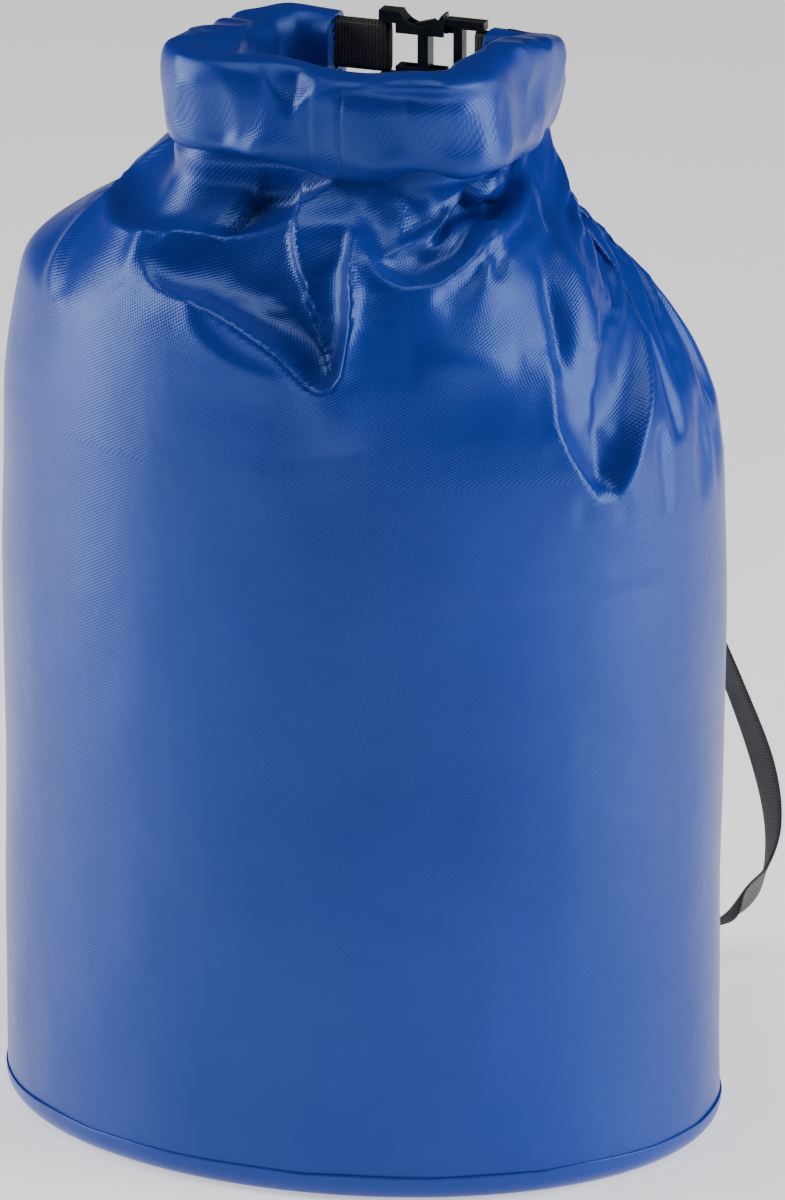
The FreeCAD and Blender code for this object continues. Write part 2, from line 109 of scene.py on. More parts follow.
# The surroundings light the bag dimly, and are bright where the camera sees them directly.
SURROUNDINGS = (0.045, 0.048, 0.055, 1)
BACKDROP = (6, 6, 6, 1)


def make_lights():
    centre = (0, 0, 0.25)
    area_light("softbox_left", (-1.5, -0.45, 0.55), centre, 0.9, 1.9, 36)
    area_light("softbox_right", (1.45, 0.05, 0.60), centre, 0.9, 1.9, 33)
    area_light("softbox_top", (0.0, -0.1, 1.9), centre, 1.2, 1.0, 12)
    world = bpy.data.worlds.new("studio")
    world.use_nodes = True
    nodes, links = world.node_tree.nodes, world.node_tree.links
    background = nodes["Background"]
    path = nodes.new("ShaderNodeLightPath")
    mix = nodes.new("ShaderNodeMix")
    mix.data_type = "RGBA"
    mix.inputs["A"].default_value = SURROUNDINGS
    mix.inputs["B"].default_value = BACKDROP
    links.new(path.outputs["Is Camera Ray"], mix.inputs["Factor"])
    links.new(mix.outputs["Result"], background.inputs["Color"])
    bpy.context.scene.world = world


make_camera()
make_lights()


# ---------------------------------------------------------------- materials
def new_material(name):
    material = bpy.data.materials.new(name)
    material.use_nodes = True
    nodes, links = material.node_tree.nodes, material.node_tree.links
    return material, nodes, links, nodes["Principled BSDF"]


def wave(nodes, links, coordinate, scale, angle):
    mapping = nodes.new("ShaderNodeMapping")
    mapping.inputs["Rotation"].default_value = (0, 0, angle)
    texture = nodes.new("ShaderNodeTexWave")
    texture.wave_profile = "SIN"
    texture.bands_direction = "X"
    texture.inputs["Scale"].default_value = scale
    texture.inputs["Distortion"].default_value = 0.4
    texture.inputs["Detail"].default_value = 1.0
    links.new(coordinate, mapping.inputs["Vector"])
    links.new(mapping.outputs["Vector"], texture.inputs["Vector"])
    return texture.outputs["Fac"]


def mixed(nodes, links, kind, first, second):
    node = nodes.new("ShaderNodeMath")
    node.operation = kind
    links.new(first, node.inputs[0])
    if isinstance(second, float):
        node.inputs[1].default_value = second
    else:
        links.new(second, node.inputs[1])
    return node.outputs[0]


def noise_texture(nodes, links, coordinate, scale, detail=3.0):
    texture = nodes.new("ShaderNodeTexNoise")
    texture.inputs["Scale"].default_value = scale
    texture.inputs["Detail"].default_value = detail
    links.new(coordinate, texture.inputs["Vector"])
    return texture.outputs["Fac"]


def ramp(nodes, links, value, stops):
    node = nodes.new("ShaderNodeValToRGB")
    links.new(value, node.inputs["Fac"])
    elements = node.color_ramp.elements
    for index, (place, colour) in enumerate(stops):
        element = elements[index] if index < len(elements) else elements.new(place)
        element.position = place
        element.color = (*colour, 1)
    return node.outputs["Color"]


def bump(nodes, links, height, strength, distance, below=None):
    node = nodes.new("ShaderNodeBump")
    node.inputs["Strength"].default_value = strength
    node.inputs["Distance"].default_value = distance
    links.new(height, node.inputs["Height"])
    if below is not None:
        links.new(below, node.inputs["Normal"])
    return node.outputs["Normal"]


# Bands per metre of the weave under the tarpaulin's skin, and its slant.
TARPAULIN_WEAVE = 270.0
WARP_SLANT = math.radians(62)
WEFT_SLANT = math.radians(-28)
# Cross ribs and lengthwise yarns of the webbing.
WEBBING_RIBS = 210.0
WEBBING_YARNS = 330.0


def tarpaulin_material(name, weave_strength):
    """Coated fabric: a satin skin over a slanting weave, a little uneven in colour and gloss."""
    material, nodes, links, shader = new_material(name)
    uv = nodes.new("ShaderNodeUVMap").outputs["UV"]
    place = nodes.new("ShaderNodeTexCoord").outputs["Object"]
    cloud = noise_texture(nodes, links, place, 9.0)
    fine = noise_texture(nodes, links, place, 900.0, 2.0)
    colour = ramp(nodes, links, cloud, [(0.30, (0.0035, 0.020, 0.215)), (0.70, (0.005, 0.027, 0.26))])
    links.new(colour, shader.inputs["Base Color"])
    warp = wave(nodes, links, uv, TARPAULIN_WEAVE, WARP_SLANT)
    weft = wave(nodes, links, uv, TARPAULIN_WEAVE, WEFT_SLANT)
    weave = mixed(nodes, links, "ADD", mixed(nodes, links, "MULTIPLY", weft, 0.6), warp)
    rough = nodes.new("ShaderNodeMapRange")
    rough.inputs["To Min"].default_value = 0.27
    rough.inputs["To Max"].default_value = 0.36
    links.new(cloud, rough.inputs["Value"])
    links.new(rough.outputs["Result"], shader.inputs["Roughness"])
    ripple = bump(nodes, links, noise_texture(nodes, links, place, 45.0, 2.0), 0.25, 0.002)
    skin = bump(nodes, links, fine, 0.08, 0.0003, ripple)
    links.new(bump(nodes, links, weave, weave_strength, 0.0002, skin), shader.inputs["Normal"])
    shader.inputs["Specular IOR Level"].default_value = 0.9
    shader.inputs["Specular Tint"].default_value = (0.30, 0.48, 1.0, 1)
    shader.inputs["Coat Weight"].default_value = 0.02
    shader.inputs["Coat Roughness"].default_value = 0.22
    return material


def webbing_material(name, dark, light):
    """Woven polyester tape: cross ribs and lengthwise yarns, with a dull sheen."""
    material, nodes, links, shader = new_material(name)
    uv = nodes.new("ShaderNodeUVMap").outputs["UV"]
    ribs = wave(nodes, links, uv, WEBBING_RIBS, 0.0)
    yarns = wave(nodes, links, uv, WEBBING_YARNS, math.radians(90))
    weave = mixed(nodes, links, "MULTIPLY", ribs, yarns)
    fuzz = noise_texture(nodes, links, uv, 700.0)
    colour = ramp(nodes, links, mixed(nodes, links, "MULTIPLY", weave, fuzz), [(0.05, dark), (0.55, light)])
    links.new(colour, shader.inputs["Base Color"])
    fuzzed = bump(nodes, links, fuzz, 0.3, 0.0003)
    links.new(bump(nodes, links, weave, 0.9, 0.0006, fuzzed), shader.inputs["Normal"])
    shader.inputs["Roughness"].default_value = 0.72
    shader.inputs["Sheen Weight"].default_value = 0.25
    return material


def plastic_material(name):
    """Moulded black acetal: fine grain, soft gloss, faint wear."""
    material, nodes, links, shader = new_material(name)
    place = nodes.new("ShaderNodeTexCoord").outputs["Object"]
    grain = noise_texture(nodes, links, place, 2600.0, 2.0)
    wear = noise_texture(nodes, links, place, 160.0, 4.0)
    colour = ramp(nodes, links, wear, [(0.3, (0.010, 0.011, 0.010)), (0.8, (0.022, 0.025, 0.022))])
    links.new(colour, shader.inputs["Base Color"])
    rough = nodes.new("ShaderNodeMapRange")
    rough.inputs["To Min"].default_value = 0.26
    rough.inputs["To Max"].default_value = 0.45
    links.new(wear, rough.inputs["Value"])
    links.new(rough.outputs["Result"], shader.inputs["Roughness"])
    links.new(bump(nodes, links, grain, 0.15, 0.0002), shader.inputs["Normal"])
    return material


def thread_material():
    material, nodes, links, shader = new_material("thread")
    place = nodes.new("ShaderNodeTexCoord").outputs["Object"]
    twist = noise_texture(nodes, links, place, 1800.0)
    colour = ramp(nodes, links, twist, [(0.3, (0.02, 0.02, 0.02)), (0.7, (0.055, 0.052, 0.05))])
    links.new(colour, shader.inputs["Base Color"])
    links.new(bump(nodes, links, twist, 0.5, 0.0003), shader.inputs["Normal"])
    shader.inputs["Roughness"].default_value = 0.6
    return material


TARPAULIN = tarpaulin_material("tarpaulin", 0.26)
PATCH = tarpaulin_material("tarpaulin_patch", 0.2)
WEBBING = webbing_material("webbing", (0.008, 0.006, 0.005), (0.05, 0.040, 0.034))
STRAP = webbing_material("strap_webbing", (0.010, 0.011, 0.010), (0.055, 0.058, 0.052))
PLASTIC = plastic_material("buckle_plastic")
THREAD = thread_material()
STRIP = plastic_material("strip")


# ---------------------------------------------------------------- mesh helpers
def grid_mesh(name, points, material, uv=None, close_u=False, close_v=False, smooth=True):
    """A mesh over a grid of points, rows by columns, with a UV in metres."""
    rows, columns = points.shape[:2]
    vertices = points.reshape(-1, 3).tolist()
    faces, corners = [], []
    for i in range(rows if close_u else rows - 1):
        for j in range(columns if close_v else columns - 1):
            ii, jj = (i + 1) % rows, (j + 1) % columns
            faces.append((i * columns + j, i * columns + jj, ii * columns + jj, ii * columns + j))
            corners.append([(i, j), (i, j + 1), (i + 1, j + 1), (i + 1, j)])
    mesh = bpy.data.meshes.new(name)
    mesh.from_pydata(vertices, [], faces)
    if uv is not None:
        layer = mesh.uv_layers.new(name="UVMap")
        flat = [uv(*corner) for face in corners for corner in face]
        layer.data.foreach_set("uv", np.array(flat, dtype=np.float32).ravel())
    mesh.materials.append(material)
    if smooth:
        mesh.shade_smooth()
    obj = bpy.data.objects.new(name, mesh)
    bpy.context.scene.collection.objects.link(obj)
    return obj


def apply_modifiers(obj):
    graph = bpy.context.evaluated_depsgraph_get()
    mesh = bpy.data.meshes.new_from_object(obj.evaluated_get(graph))
    obj.modifiers.clear()
    obj.data = mesh


def thicken(obj, thickness, offset):
    modifier = obj.modifiers.new("thickness", "SOLIDIFY")
    modifier.thickness = thickness
    modifier.offset = offset
    modifier.use_even_offset = False


# ---------------------------------------------------------------- collar line
def ring_path():
    """The collar's middle line seen from above, from the left end round the front to the right end."""
    w, d, r = RING_HALF_WIDTH, RING_HALF_DEPTH, RING_CORNER
    points = [(-GAP_LEFT, d), (-w + r, d)]

    def corner(cx, cy, start):
        for k in range(1, 9):
            angle = math.radians(start + 90 * k / 8)
            points.append((cx + r * math.cos(angle), cy + r * math.sin(angle)))

    corner(-w + r, d - r, 90)
    points.append((-w, -d + r))
    corner(-w + r, -d + r, 180)
    points.append((w - r, -d))
    corner(w - r, -d + r, 270)
    points.append((w, d - r))
    corner(w - r, d - r, 0)
    points.append((GAP_RIGHT, d))
    return np.array(points)


def resample(points, count):
    """The same polyline with evenly spaced points, and each one's distance along it."""
    steps = np.linalg.norm(np.diff(points, axis=0), axis=1)
    lengths = np.concatenate([[0], np.cumsum(steps)])
    even = np.linspace(0, lengths[-1], count)
    return np.stack([np.interp(even, lengths, points[:, k]) for k in range(points.shape[1])], axis=1), even


def outward(points):
    """Unit normals of the collar line, away from the ring's middle."""
    along = np.gradient(points, axis=0)
    along /= np.linalg.norm(along, axis=1, keepdims=True)
    return np.stack([-along[:, 1], along[:, 0]], axis=1) * -1.0


def bell(value, width):
    return np.exp(-((value / width) ** 2))


# ---------------------------------------------------------------- wall: a filled tube drawn into the collar
AROUND = 420
SHEET_FOOT = 0.255
SHOULDER_FOOT = 0.305
SHOULDER_ROWS = 70
SHOULDER_STEP = 0.0035
SMOOTHING_PASSES = 3
FOLD_LINE_TURN = 0.22
LAYER_GAP = 0.004
SETTLE_FRAMES = 24
COARSE_COLUMNS = 3
COARSE_ROWS = 2
LOW_STEP = 0.0045
# How firmly the settling cloth is held: fully in its lowest and highest rows, softly between.
HELD_BELOW = 4
HELD_ABOVE = 3
SOFT_PIN = 0.25

# The share of the way from the collar (0) out to the full oval (1) at heights in metres, by side.
PROFILE_HEIGHTS = [0.305, 0.322, 0.344, 0.358, 0.364, 0.375, 0.387, 0.396, 0.402, 0.408, 0.413, 0.420]
PROFILES = {
    # bearing in degrees from the front towards the right
    -72: [1.00, 0.985, 0.945, 0.915, 0.865, 0.700, 0.480, 0.380, 0.300, 0.180, 0.060, 0.0],
    10: [1.00, 0.985, 0.940, 0.880, 0.840, 0.740, 0.580, 0.380, 0.200, 0.050, 0.010, 0.0],
    110: [1.00, 0.950, 0.800, 0.660, 0.590, 0.460, 0.300, 0.170, 0.110, 0.060, 0.020, 0.0],
    200: [1.00, 0.970, 0.880, 0.800, 0.760, 0.660, 0.540, 0.420, 0.320, 0.190, 0.080, 0.0],
}


def even_oval_turns(count):
    """Angles that divide the body's oval into equal lengths, from the left fold line round the front."""
    fine = np.linspace(0, TWO_PI, 4001)
    steps = np.hypot(HALF_WIDTH * np.sin(fine), HALF_DEPTH * np.cos(fine))
    lengths = np.concatenate([[0], np.cumsum((steps[1:] + steps[:-1]) / 2 * np.diff(fine))])
    girth = lengths[-1]
    first = np.interp(math.pi - FOLD_LINE_TURN, fine, lengths)
    places = (first + np.linspace(0, girth, count, endpoint=False)) % girth
    return np.interp(places, lengths, fine), girth


def oval_row(turns, z):
    return np.stack([HALF_WIDTH * np.cos(turns), HALF_DEPTH * np.sin(turns), np.full(len(turns), z)], axis=1)


def collar_row():
    """Where the wall's columns enter the collar: its front half outside the line, its back half inside."""
    half = AROUND // 2
    line, _ = resample(ring_path(), half + 1)
    normals = outward(line)
    front = line + normals * LAYER_GAP
    back = (line - normals * LAYER_GAP)[half - 1:0:-1]
    return np.concatenate([front, back])


def shoulder_share(bearing, z):
    """The share of the way out at a bearing and height, eased between the four sides' profiles."""
    sides = sorted(PROFILES.items())
    first_side = sides[0]
    closed = [*sides, (first_side[0] + 360, first_side[1])]
    for (low, low_profile), (high, high_profile) in zip(closed, closed[1:]):
        place = (bearing - low) % 360
        if place <= high - low:
            ease = 0.5 - 0.5 * math.cos(math.pi * place / (high - low))
            first = np.interp(z, PROFILE_HEIGHTS, low_profile)
            last = np.interp(z, PROFILE_HEIGHTS, high_profile)
            return first * (1 - ease) + last * ease


def sculpted_shoulder(turns):
    """The shoulder before the cloth settles: the oval closing in to the collar's two layers."""
    collar = collar_row()
    heights = np.concatenate([
        np.arange(SHEET_FOOT, SHOULDER_FOOT, SHOULDER_STEP),
        np.linspace(SHOULDER_FOOT, PROFILE_HEIGHTS[-1], SHOULDER_ROWS),
    ])
    body = oval_row(turns, 0)[:, :2]
    bearings = np.degrees(np.arctan2(body[:, 0], -body[:, 1]))
    grid = np.zeros((len(heights), AROUND, 3))
    for i, z in enumerate(heights):
        share = np.array([shoulder_share(b, z) for b in bearings])[:, None]
        grid[i, :, :2] = collar + (body - collar) * share
        grid[i, :, 2] = z
    kernel = np.array([1, 4, 6, 4, 1]) / 16
    for _ in range(SMOOTHING_PASSES):
        inner = sum(k * np.roll(grid, shift, axis=0) for k, shift in zip(kernel, range(-2, 3)))
        grid[3:-3] = inner[3:-3]
    return grid, heights


def settle(rest):
    """Lets the sculpted shoulder settle as cloth, with air inside and soft pins that keep its folds."""
    rows, columns = rest.shape[:2]
    obj = grid_mesh("shoulder", rest, TARPAULIN, close_v=True)
    pins = obj.vertex_groups.new(name="pins")
    for row in range(rows):
        held = row < HELD_BELOW or row >= rows - HELD_ABOVE
        pins.add([row * columns + c for c in range(columns)], 1.0 if held else SOFT_PIN, "ADD")
    cloth = obj.modifiers.new("cloth", "CLOTH")
    settings = cloth.settings
    settings.vertex_group_mass = "pins"
    settings.quality = 5
    settings.mass = 0.3
    settings.tension_stiffness = 30
    settings.compression_stiffness = 30
    settings.shear_stiffness = 15
    settings.bending_stiffness = 8
    settings.tension_damping = 10
    settings.compression_damping = 10
    settings.shear_damping = 8
    settings.bending_damping = 1
    settings.air_damping = 2
    settings.use_pressure = True
    settings.uniform_pressure_force = 2.0
    settings.effector_weights.gravity = 0
    cloth.collision_settings.use_collision = False
    cloth.collision_settings.use_self_collision = True
    cloth.collision_settings.self_distance_min = 0.0015
    cloth.point_cache.frame_start = 1
    cloth.point_cache.frame_end = SETTLE_FRAMES
    scene = bpy.context.scene
    scene.frame_start, scene.frame_end = 1, SETTLE_FRAMES
    for number in range(1, SETTLE_FRAMES + 1):
        scene.frame_set(number)
    apply_modifiers(obj)
    made = np.zeros(len(obj.data.vertices) * 3)
    obj.data.vertices.foreach_get("co", made)
    bpy.data.objects.remove(obj)
    scene.frame_set(1)
    return made.reshape(rest.shape)


def refined(grid, factor, closed):
    """The grid with its columns made finer along a Catmull-Rom curve through them."""
    count = grid.shape[1]
    spans = count if closed else count - 1

    def at(index):
        return grid[:, index % count] if closed else grid[:, min(max(index, 0), count - 1)]

    columns = []
    for j in range(spans):
        p0, p1, p2, p3 = at(j - 1), at(j), at(j + 1), at(j + 2)
        for k in range(factor):
            t = k / factor
            columns.append(0.5 * (
                2 * p1 + (p2 - p0) * t + (2 * p0 - 5 * p1 + 4 * p2 - p3) * t**2
                + (3 * p1 - p0 - 3 * p2 + p3) * t**3
            ))
    if not closed:
        columns.append(grid[:, -1])
    return np.stack(columns, axis=1)


# The folds pressed into the closed shoulder: bearing in degrees from the front towards the right,
# and height in metres. Each is a lip that hangs below a hollow, followed from left to right.
SWAGS = [
    # points, lip (m), hollow (m), reach of the hollow (m)
    ([(-84, 0.390), (-55, 0.386), (-29, 0.391), (0, 0.404), (10, 0.412)], 0.004, 0.018, 0.024),
    ([(-34, 0.379), (-27, 0.371), (-12, 0.366), (2, 0.355), (10, 0.343), (15, 0.348), (17, 0.372),
      (16, 0.399)],
     0.006, 0.024, 0.036),
    ([(18, 0.399), (24, 0.384), (32, 0.380), (40, 0.383), (51, 0.389), (64, 0.394), (90, 0.404)],
     0.006, 0.018, 0.022),
    ([(25, 0.399), (32, 0.3955), (39, 0.394), (49, 0.395), (63, 0.401), (66, 0.412)], 0.002, 0.004, 0.006),
    ([(25, 0.408), (36, 0.402), (43, 0.399), (47, 0.410)], 0.002, 0.003, 0.004),
    ([(57, 0.353), (55, 0.323), (60, 0.298), (63, 0.2945), (66, 0.297), (73, 0.320), (86, 0.348)],
     0.004, 0.012, 0.034),
    ([(-16, 0.384), (-18, 0.366), (-10, 0.352), (4, 0.344)], 0.002, 0.000, 0.010),
]
# Plain ridges (positive) and creases (negative) between two places, with a half width.
RIDGES = [
    ((-73, 0.392), (-52, 0.355), 0.003, 0.0045),
    ((98, 0.405), (63, 0.378), -0.004, 0.004),
    ((63, 0.378), (58, 0.340), -0.004, 0.004),
    ((77, 0.396), (64, 0.345), 0.005, 0.010),
    ((16.5, 0.402), (16.5, 0.352), 0.004, 0.004),
    ((28, 0.356), (51, 0.350), 0.0035, 0.008),
    ((-40, 0.392), (-34, 0.372), 0.003, 0.005),
    ((13, 0.345), (16, 0.316), 0.0025, 0.010),
]
BEARING_RADIUS = 0.115
# How far a fold's bulge reaches below its lip, the lip's half width and the slope down into its hollow (m).
BULGE_REACH = 0.014
LIP_WIDTH = 0.0030
HOLLOW_SLOPE = 0.008
# The folds fade out over 15 degrees, from this bearing back towards the front.
FOLDS_TO = math.radians(115)
FOLDS_FADE = math.radians(15)


def on_unrolled(places):
    return np.array([(math.radians(bearing) * BEARING_RADIUS, z) for bearing, z in places])


def line_distance(points, line):
    """Each point's distance to a line of segments, the side that it lies on, and its share of the way."""
    best = np.full(len(points), 1e9)
    side = np.zeros(len(points))
    share = np.zeros(len(points))
    steps = np.linalg.norm(np.diff(line, axis=0), axis=1)
    lengths = np.concatenate([[0], np.cumsum(steps)])
    for index, (start, end) in enumerate(zip(line, line[1:])):
        along = end - start
        t = np.clip(((points - start) @ along) / (along @ along), 0, 1)
        offset = points - start - t[:, None] * along
        distance = np.linalg.norm(offset, axis=1)
        nearer = distance < best
        best[nearer] = distance[nearer]
        side[nearer] = np.sign(along[0] * offset[:, 1] - along[1] * offset[:, 0])[nearer]
        share[nearer] = ((lengths[index] + t * steps[index]) / lengths[-1])[nearer]
    return best, side, share


def fold_depth(co):
    """How far the pressed-in folds move each point of the wall outward."""
    bearing = np.arctan2(co[:, 0], -co[:, 1])
    flat = np.stack([bearing * BEARING_RADIUS, co[:, 2]], axis=1)
    depth = np.zeros(len(co))
    for places, lip, hollow, reach in SWAGS:
        distance, side, share = line_distance(flat, curve_through(on_unrolled(places), 8))
        fade = np.clip(np.sin(np.pi * np.clip(share, 0, 1)), 0, 1) ** 0.6
        below = lip * np.exp(-distance / BULGE_REACH)
        edge = lip * bell(distance, LIP_WIDTH)
        above = -hollow * (1 - np.exp(-distance / HOLLOW_SLOPE)) * bell(distance, reach)
        depth += fade * np.where(side > 0, edge + above, below)
    for start, end, height, width in RIDGES:
        distance, _, share = line_distance(flat, on_unrolled([start, end]))
        depth += height * bell(distance, width) * np.sin(np.pi * np.clip(share, 0.05, 0.95))
    front = np.clip((FOLDS_TO - np.abs(bearing)) / FOLDS_FADE, 0, 1)
    clear_of_roll = np.clip((ROLL_LOW.z + 0.006 - co[:, 2]) / 0.005, 0, 1)
    return depth * front * clear_of_roll


def curve_through(points, factor):
    return refined(points[None, :, :], factor, closed=False)[0]


# The filled wall's slow waves and small ripples: how many per metre, and how deep (m).
WAVES, WAVE_DEPTH = 11.0, 0.0016
RIPPLES, RIPPLES_UP, RIPPLE_DEPTH = 38, 22, 0.0005
STIFF_FOOT = 0.03


def slack(co):
    """The slow in and out of the filled wall, in metres."""
    waves = np.array([noise.noise(Vector(p) * WAVES) for p in co])
    ripples = np.array([noise.noise(Vector((p[0] * RIPPLES, p[1] * RIPPLES, p[2] * RIPPLES_UP))) for p in co])
    foot = np.clip((co[:, 2] - BASE_HIGH.z) / STIFF_FOOT, 0, 1)
    return (waves * WAVE_DEPTH + ripples * RIPPLE_DEPTH) * foot


def grid_normals(grid):
    """Outward normals of a grid whose columns close round the bag."""
    around = np.roll(grid, -1, axis=1) - np.roll(grid, 1, axis=1)
    up = np.gradient(grid, axis=0)
    normal = np.cross(around, up)
    return normal / np.maximum(np.linalg.norm(normal, axis=2, keepdims=True), 1e-12)


def make_wall():
    turns, girth = even_oval_turns(AROUND)
    shoulder, heights = sculpted_shoulder(turns)
    flat = shoulder.reshape(-1, 3)
    normals = grid_normals(shoulder).reshape(-1, 3)
    shoulder = (flat + normals * fold_depth(flat)[:, None]).reshape(shoulder.shape)
    coarse = shoulder[::COARSE_ROWS, ::COARSE_COLUMNS]
    drift = refined(settle(coarse) - coarse, COARSE_COLUMNS, closed=True)
    drift = refined(drift.transpose(1, 0, 2), COARSE_ROWS, closed=False).transpose(1, 0, 2)
    low_heights = np.arange(WALL_LOW.z + 0.0005, SHEET_FOOT - 0.001, LOW_STEP)
    lower = np.stack([oval_row(turns, z) for z in low_heights])
    grid = np.concatenate([lower, shoulder + drift])
    flat = grid.reshape(-1, 3)
    moved = flat + grid_normals(grid).reshape(-1, 3) * slack(flat)[:, None]
    rises = np.concatenate([low_heights, heights])

    def uv(i, j):
        return (j / AROUND * girth, rises[i])

    obj = grid_mesh("bag_wall", moved.reshape(grid.shape), TARPAULIN, uv, close_v=True)
    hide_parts("side_wall")
    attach(obj, "shell")


make_wall()


# ---------------------------------------------------------------- base panel with its turned-up hem
def make_base():
    """A flat oval with a soft rounded edge, whose hem thins out to a weld line on the wall."""
    edge = 0.0085
    rim = BASE_HIGH.z
    half_w, half_d = BASE_HIGH.x, BASE_HIGH.y
    sag = 0.0012
    profile = [(-half_d * share, sag) for share in (0.98, 0.85, 0.65, 0.45, 0.25)]
    for k in range(9):
        angle = math.radians(90 * k / 8)
        profile.append((-edge - 0.0004 + edge * math.sin(angle), edge - edge * math.cos(angle)))
    profile += [(-0.0003, rim - 0.0014), (-0.0002, rim - 0.0008)]
    profile += [(-0.0005, rim - 0.0002), (-0.0012, rim - 0.0004)]
    turns, girth = even_oval_turns(AROUND)
    rows = []
    for inset, z in profile:
        lifted = float(z > sag)
        waves = lifted * (0.0005 * np.sin(turns * 5 + 1.0) + 0.0003 * np.sin(turns * 13 + 0.4))
        stretch = half_w / half_d if inset < -2 * edge else 1.0
        rows.append(np.stack([
            (half_w + inset * stretch + 0.3 * waves) * np.cos(turns),
            (half_d + inset + 0.3 * waves) * np.sin(turns),
            z + np.abs(waves) * min(1.0, z / edge),
        ], axis=1))

    def uv(i, j):
        return (j / len(turns) * girth, profile[i][1] - profile[i][0])

    obj = grid_mesh("base_dish", np.stack(rows), TARPAULIN, uv, close_v=True)
    close_ends(obj, len(profile), len(turns), first_only=True)
    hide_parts("base_panel")
    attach(obj, "shell")


def close_ends(obj, rows, columns, first_only=False):
    """Closes the grid's first ring, and its last unless told, with a fan."""
    mesh = obj.data
    vertices = [tuple(v.co) for v in mesh.vertices]
    faces = [tuple(p.vertices) for p in mesh.polygons]
    corners = np.zeros(len(mesh.loops) * 2, dtype=np.float32)
    mesh.uv_layers[0].data.foreach_get("uv", corners)
    uvs = corners.reshape(-1, 2).tolist()
    for ring, flip in [(0, False)] if first_only else [(0, False), (rows - 1, True)]:
        indices = [ring * columns + c for c in range(columns)]
        middle = np.mean([vertices[i] for i in indices], axis=0)
        vertices.append(tuple(middle))
        hub = len(vertices) - 1
        for a, b in zip(indices, indices[1:] + indices[:1]):
            faces.append((b, a, hub) if not flip else (a, b, hub))
            for corner in faces[-1]:
                uvs.append([vertices[corner][0], vertices[corner][1]])
    fresh = bpy.data.meshes.new(mesh.name)
    fresh.from_pydata(vertices, [], faces)
    layer = fresh.uv_layers.new(name="UVMap")
    layer.data.foreach_set("uv", np.array(uvs, dtype=np.float32).ravel())
    for material in mesh.materials:
        fresh.materials.append(material)
    fresh.shade_smooth()
    obj.data = fresh


make_base()


# ---------------------------------------------------------------- rolled collar
# Height of the roll's lower and upper edge (m) at shares of its length, from the left end round the front.
ROLL_LOWER = [(0, 0.4090), (0.08, 0.4090), (0.21, 0.4100), (0.35, 0.4165), (0.41, 0.4190), (0.476, 0.4170),
              (0.54, 0.4105), (0.593, 0.4125), (0.622, 0.4190), (0.665, 0.4145), (0.70, 0.4155),
              (0.80, 0.4085), (1, 0.4090)]
ROLL_UPPER = [(0, 0.4460), (0.08, 0.4470), (0.12, 0.4460), (0.214, 0.4540), (0.30, 0.4570), (0.46, 0.4570),
              (0.51, 0.4550), (0.56, 0.4550), (0.622, 0.4580), (0.80, 0.4580), (0.88, 0.4520), (0.94, 0.4460),
              (1, 0.4460)]
ROLL_ALONG = 300
ROLL_ROUND = 72
SEAM_X = 0.0125
WELD_WIDTH = 0.012
SQUARENESS = 4.2
END_LAYERS = 5
PROFILE_FINENESS = 401
PROFILE_EASE = 19
LINE_EASE = 9


def smooth_profile(stations, shares):
    """Heights between the stations, eased so that no station is a corner."""
    places = np.array([s for s, _ in stations])
    levels = np.array([z for _, z in stations])
    even = np.linspace(0, 1, PROFILE_FINENESS)
    kernel = np.hanning(PROFILE_EASE)
    padded = np.pad(np.interp(even, places, levels), PROFILE_EASE // 2, mode="edge")
    return np.interp(shares, even, np.convolve(padded, kernel / kernel.sum(), mode="valid"))


def roll_dents(x, y, z, out_y):
    """Creases and soft dents pressed into the roll: how far each point moves outward (m)."""
    front = np.clip(-out_y, 0, 1)
    depth = np.zeros_like(x)
    # A pinch in the upper edge beside the seam, between two small pleats.
    depth -= 0.0042 * bell(x + 0.008, 0.006) * bell(z - 0.453, 0.009)
    depth += 0.0012 * bell((x + 0.014) + (z - 0.447) * 0.8, 0.0025) * bell(z - 0.446, 0.008)
    depth += 0.0012 * bell((x + 0.001) - (z - 0.447) * 0.6, 0.0025) * bell(z - 0.444, 0.009)
    # A long crease under the upper edge of the right half, with a lip above it.
    crease = 0.4505 - 0.05 * np.abs(x - 0.045)
    right_half = np.clip((x - 0.010) / 0.012, 0, 1)
    depth -= 0.0026 * bell(z - crease, 0.0035) * right_half * front
    depth += 0.0016 * bell(z - crease - 0.006, 0.004) * right_half * front
    # Slanting dents and a swelling about the middle height: left, right and at the right corner.
    depth -= 0.0020 * bell(z - (ROLL_MID - 0.004 + 0.18 * (x + 0.03)), 0.006) * bell(x + 0.035, 0.020) * front
    depth += 0.0012 * bell(z - (ROLL_MID - 0.012 - 0.10 * (x - 0.03)), 0.005) * bell(x - 0.035, 0.022) * front
    depth -= 0.0016 * bell(z - (ROLL_MID + 0.002 - 0.30 * (x - 0.055)), 0.004) * bell(x - 0.055, 0.010)
    # The weld: a raised overlap that ends in a fine groove.
    step = np.clip((SEAM_X - x) / 0.0004, 0, 1) * np.clip((x - SEAM_X + WELD_WIDTH) / 0.002, 0, 1)
    depth += 0.0007 * step * front
    depth -= 0.0005 * bell(x - SEAM_X - 0.0006, 0.0006) * front
    return depth


def crumple(place):
    """Soft facets that meet in creases, on a broad swell and under a fine grain (m)."""
    spot = Vector(place)
    swell = 0.0012 * noise.noise(spot * 24)
    facets = abs(noise.noise(spot * 26 + Vector((7, 3, 1))))
    facets += 0.5 * abs(noise.noise(spot * 52 + Vector((1, 5, 9))))
    grain = 0.0004 * noise.noise(spot * 90)
    return swell + 0.0046 * (0.22 - facets) + grain


